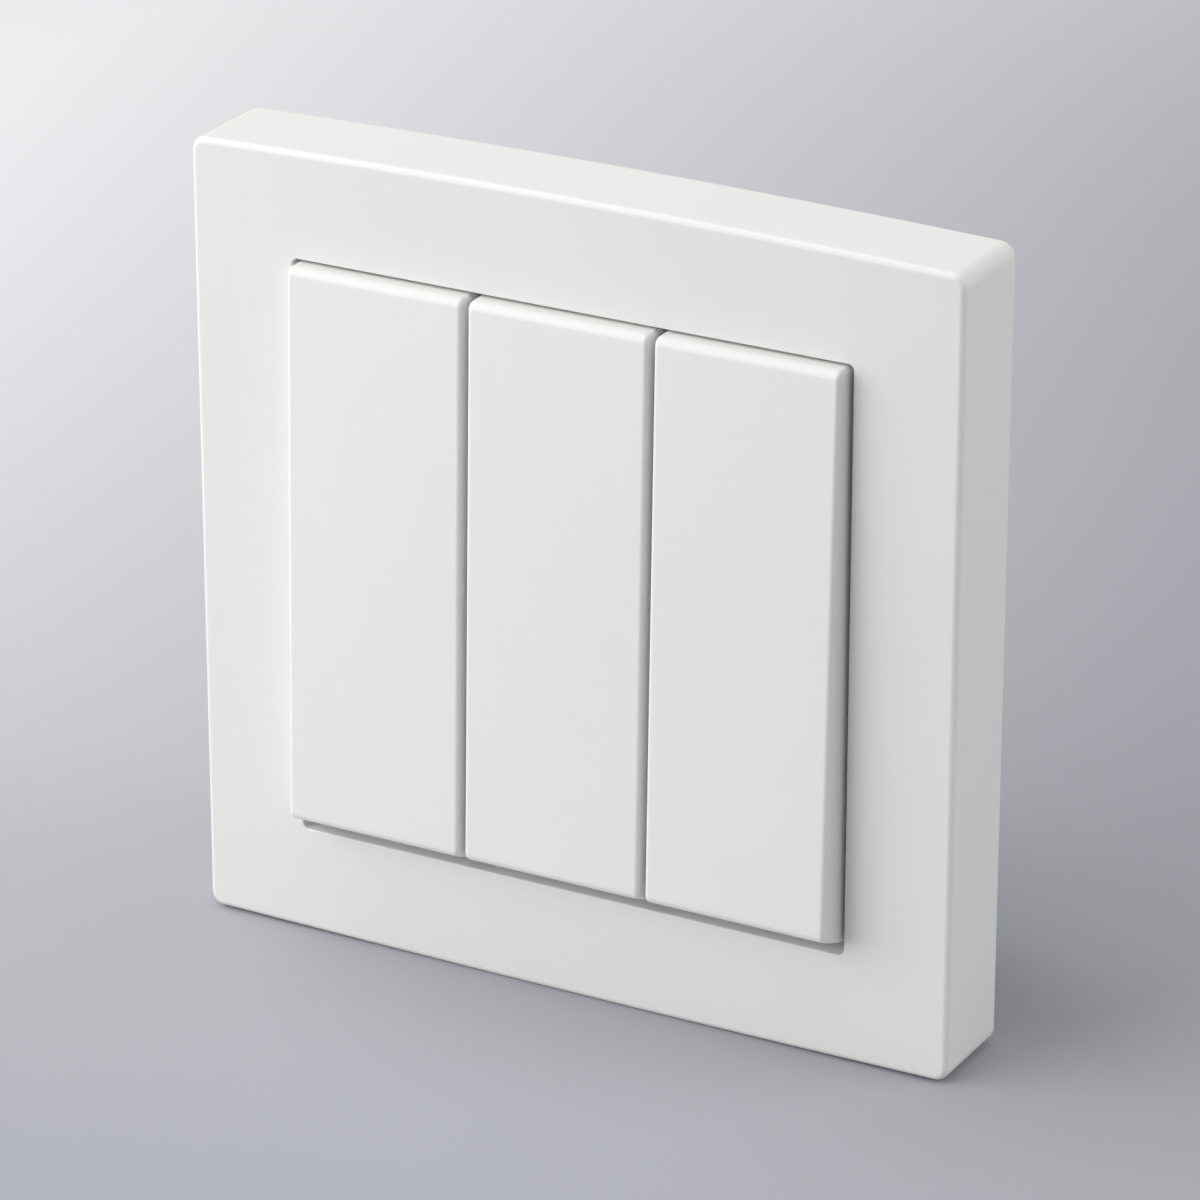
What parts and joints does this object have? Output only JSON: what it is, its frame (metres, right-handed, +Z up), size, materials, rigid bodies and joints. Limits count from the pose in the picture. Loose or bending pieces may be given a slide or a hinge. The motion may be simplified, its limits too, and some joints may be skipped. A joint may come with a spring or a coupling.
{
  "type": "three-gang light switch",
  "caption": "Square white wall switch with tall flat rockers side by side in a clip-on frame, on a steel plate with a rear contact housing and screw terminals.",
  "frame": {"origin": "centre of the plate on the wall surface, midway between the two box fixing screws", "axes": "+X to the right, +Z up, +Y into the wall; the rockers face -Y"},
  "size_m": [0.086, 0.0366, 0.086],
  "materials": {
    "frame_plastic": "satin",
    "rocker_plastic": "satin",
    "carrier_plastic": "matte",
    "housing_plastic": "matte",
    "lid_plastic": "matte",
    "plunger_nylon": "satin",
    "spring_steel": "drawn wire",
    "plate_steel": "zinc plated",
    "screw_steel": "zinc plated",
    "copper": "rolled copper",
    "brass": "stamped",
    "silver_alloy": "coined"
  },
  "bodies": {
    "base": {"cover_frame": "frame_plastic", "mounting_plate": "plate_steel", "rear_housing": "housing_plastic", "mechanism_cover": "lid_plastic", "common_bar": "brass", "fixed_tips": "silver_alloy", "terminal_common": "brass", "terminal_screws": "screw_steel", "cover_screws": "screw_steel", "housing_screws": "screw_steel", "box_screws": "screw_steel", "fixed_contact_left": "brass", "terminal_left": "brass", "fixed_contact_centre": "brass", "terminal_centre": "brass", "fixed_contact_right": "brass", "terminal_right": "brass"},
    "left_rocker": {"rocker_left": "rocker_plastic", "toggle_left": "carrier_plastic", "spring_left": "spring_steel"},
    "left_plunger": {"plunger_left": "plunger_nylon"},
    "left_contact": {"moving_contact_left": "copper", "moving_tip_left": "silver_alloy"},
    "centre_rocker": {"rocker_centre": "rocker_plastic", "toggle_centre": "carrier_plastic", "spring_centre": "spring_steel"},
    "centre_plunger": {"plunger_centre": "plunger_nylon"},
    "centre_contact": {"moving_contact_centre": "copper", "moving_tip_centre": "silver_alloy"},
    "right_rocker": {"rocker_right": "rocker_plastic", "toggle_right": "carrier_plastic", "spring_right": "spring_steel"},
    "right_plunger": {"plunger_right": "plunger_nylon"},
    "right_contact": {"moving_contact_right": "copper", "moving_tip_right": "silver_alloy"}
  },
  "joints": [
    {"name": "left_rocker_tip", "type": "hinge", "parent": "base", "child": "left_rocker", "pos_m": [-0.0156, -0.0027, 0], "axis": [1, 0, 0], "range_deg": [0, 3.2]},
    {"name": "left_plunger_slide", "type": "slide", "parent": "left_rocker", "child": "left_plunger", "axis": [0, -0.9996, 0.0279], "range_m": [0, 0.0008], "stiffness_N_per_m": 200, "springref_m": -0.004, "deforming": ["spring_left"]},
    {"name": "left_contact_tip", "type": "hinge", "parent": "base", "child": "left_contact", "pos_m": [-0.0156, 0.01212, 0], "axis": [1, 0, 0], "range_deg": [-10, 0]},
    {"name": "centre_rocker_tip", "type": "hinge", "parent": "base", "child": "centre_rocker", "pos_m": [0, -0.0027, 0], "axis": [1, 0, 0], "range_deg": [0, 3.2]},
    {"name": "centre_plunger_slide", "type": "slide", "parent": "centre_rocker", "child": "centre_plunger", "axis": [0, -0.9996, 0.0279], "range_m": [0, 0.0008], "stiffness_N_per_m": 200, "springref_m": -0.004, "deforming": ["spring_centre"]},
    {"name": "centre_contact_tip", "type": "hinge", "parent": "base", "child": "centre_contact", "pos_m": [0, 0.01212, 0], "axis": [1, 0, 0], "range_deg": [-10, 0]},
    {"name": "right_rocker_tip", "type": "hinge", "parent": "base", "child": "right_rocker", "pos_m": [0.0156, -0.0027, 0], "axis": [1, 0, 0], "range_deg": [0, 3.2]},
    {"name": "right_plunger_slide", "type": "slide", "parent": "right_rocker", "child": "right_plunger", "axis": [0, -0.9996, 0.0279], "range_m": [0, 0.0008], "stiffness_N_per_m": 200, "springref_m": -0.004, "deforming": ["spring_right"]},
    {"name": "right_contact_tip", "type": "hinge", "parent": "base", "child": "right_contact", "pos_m": [0.0156, 0.01212, 0], "axis": [1, 0, 0], "range_deg": [-10, 0]}
  ],
  "couplings": [
    {"joint": "left_contact_tip", "follows": "left_rocker_tip", "ratio": -3.125},
    {"joint": "centre_contact_tip", "follows": "centre_rocker_tip", "ratio": -3.125},
    {"joint": "right_contact_tip", "follows": "right_rocker_tip", "ratio": -3.125}
  ]
}
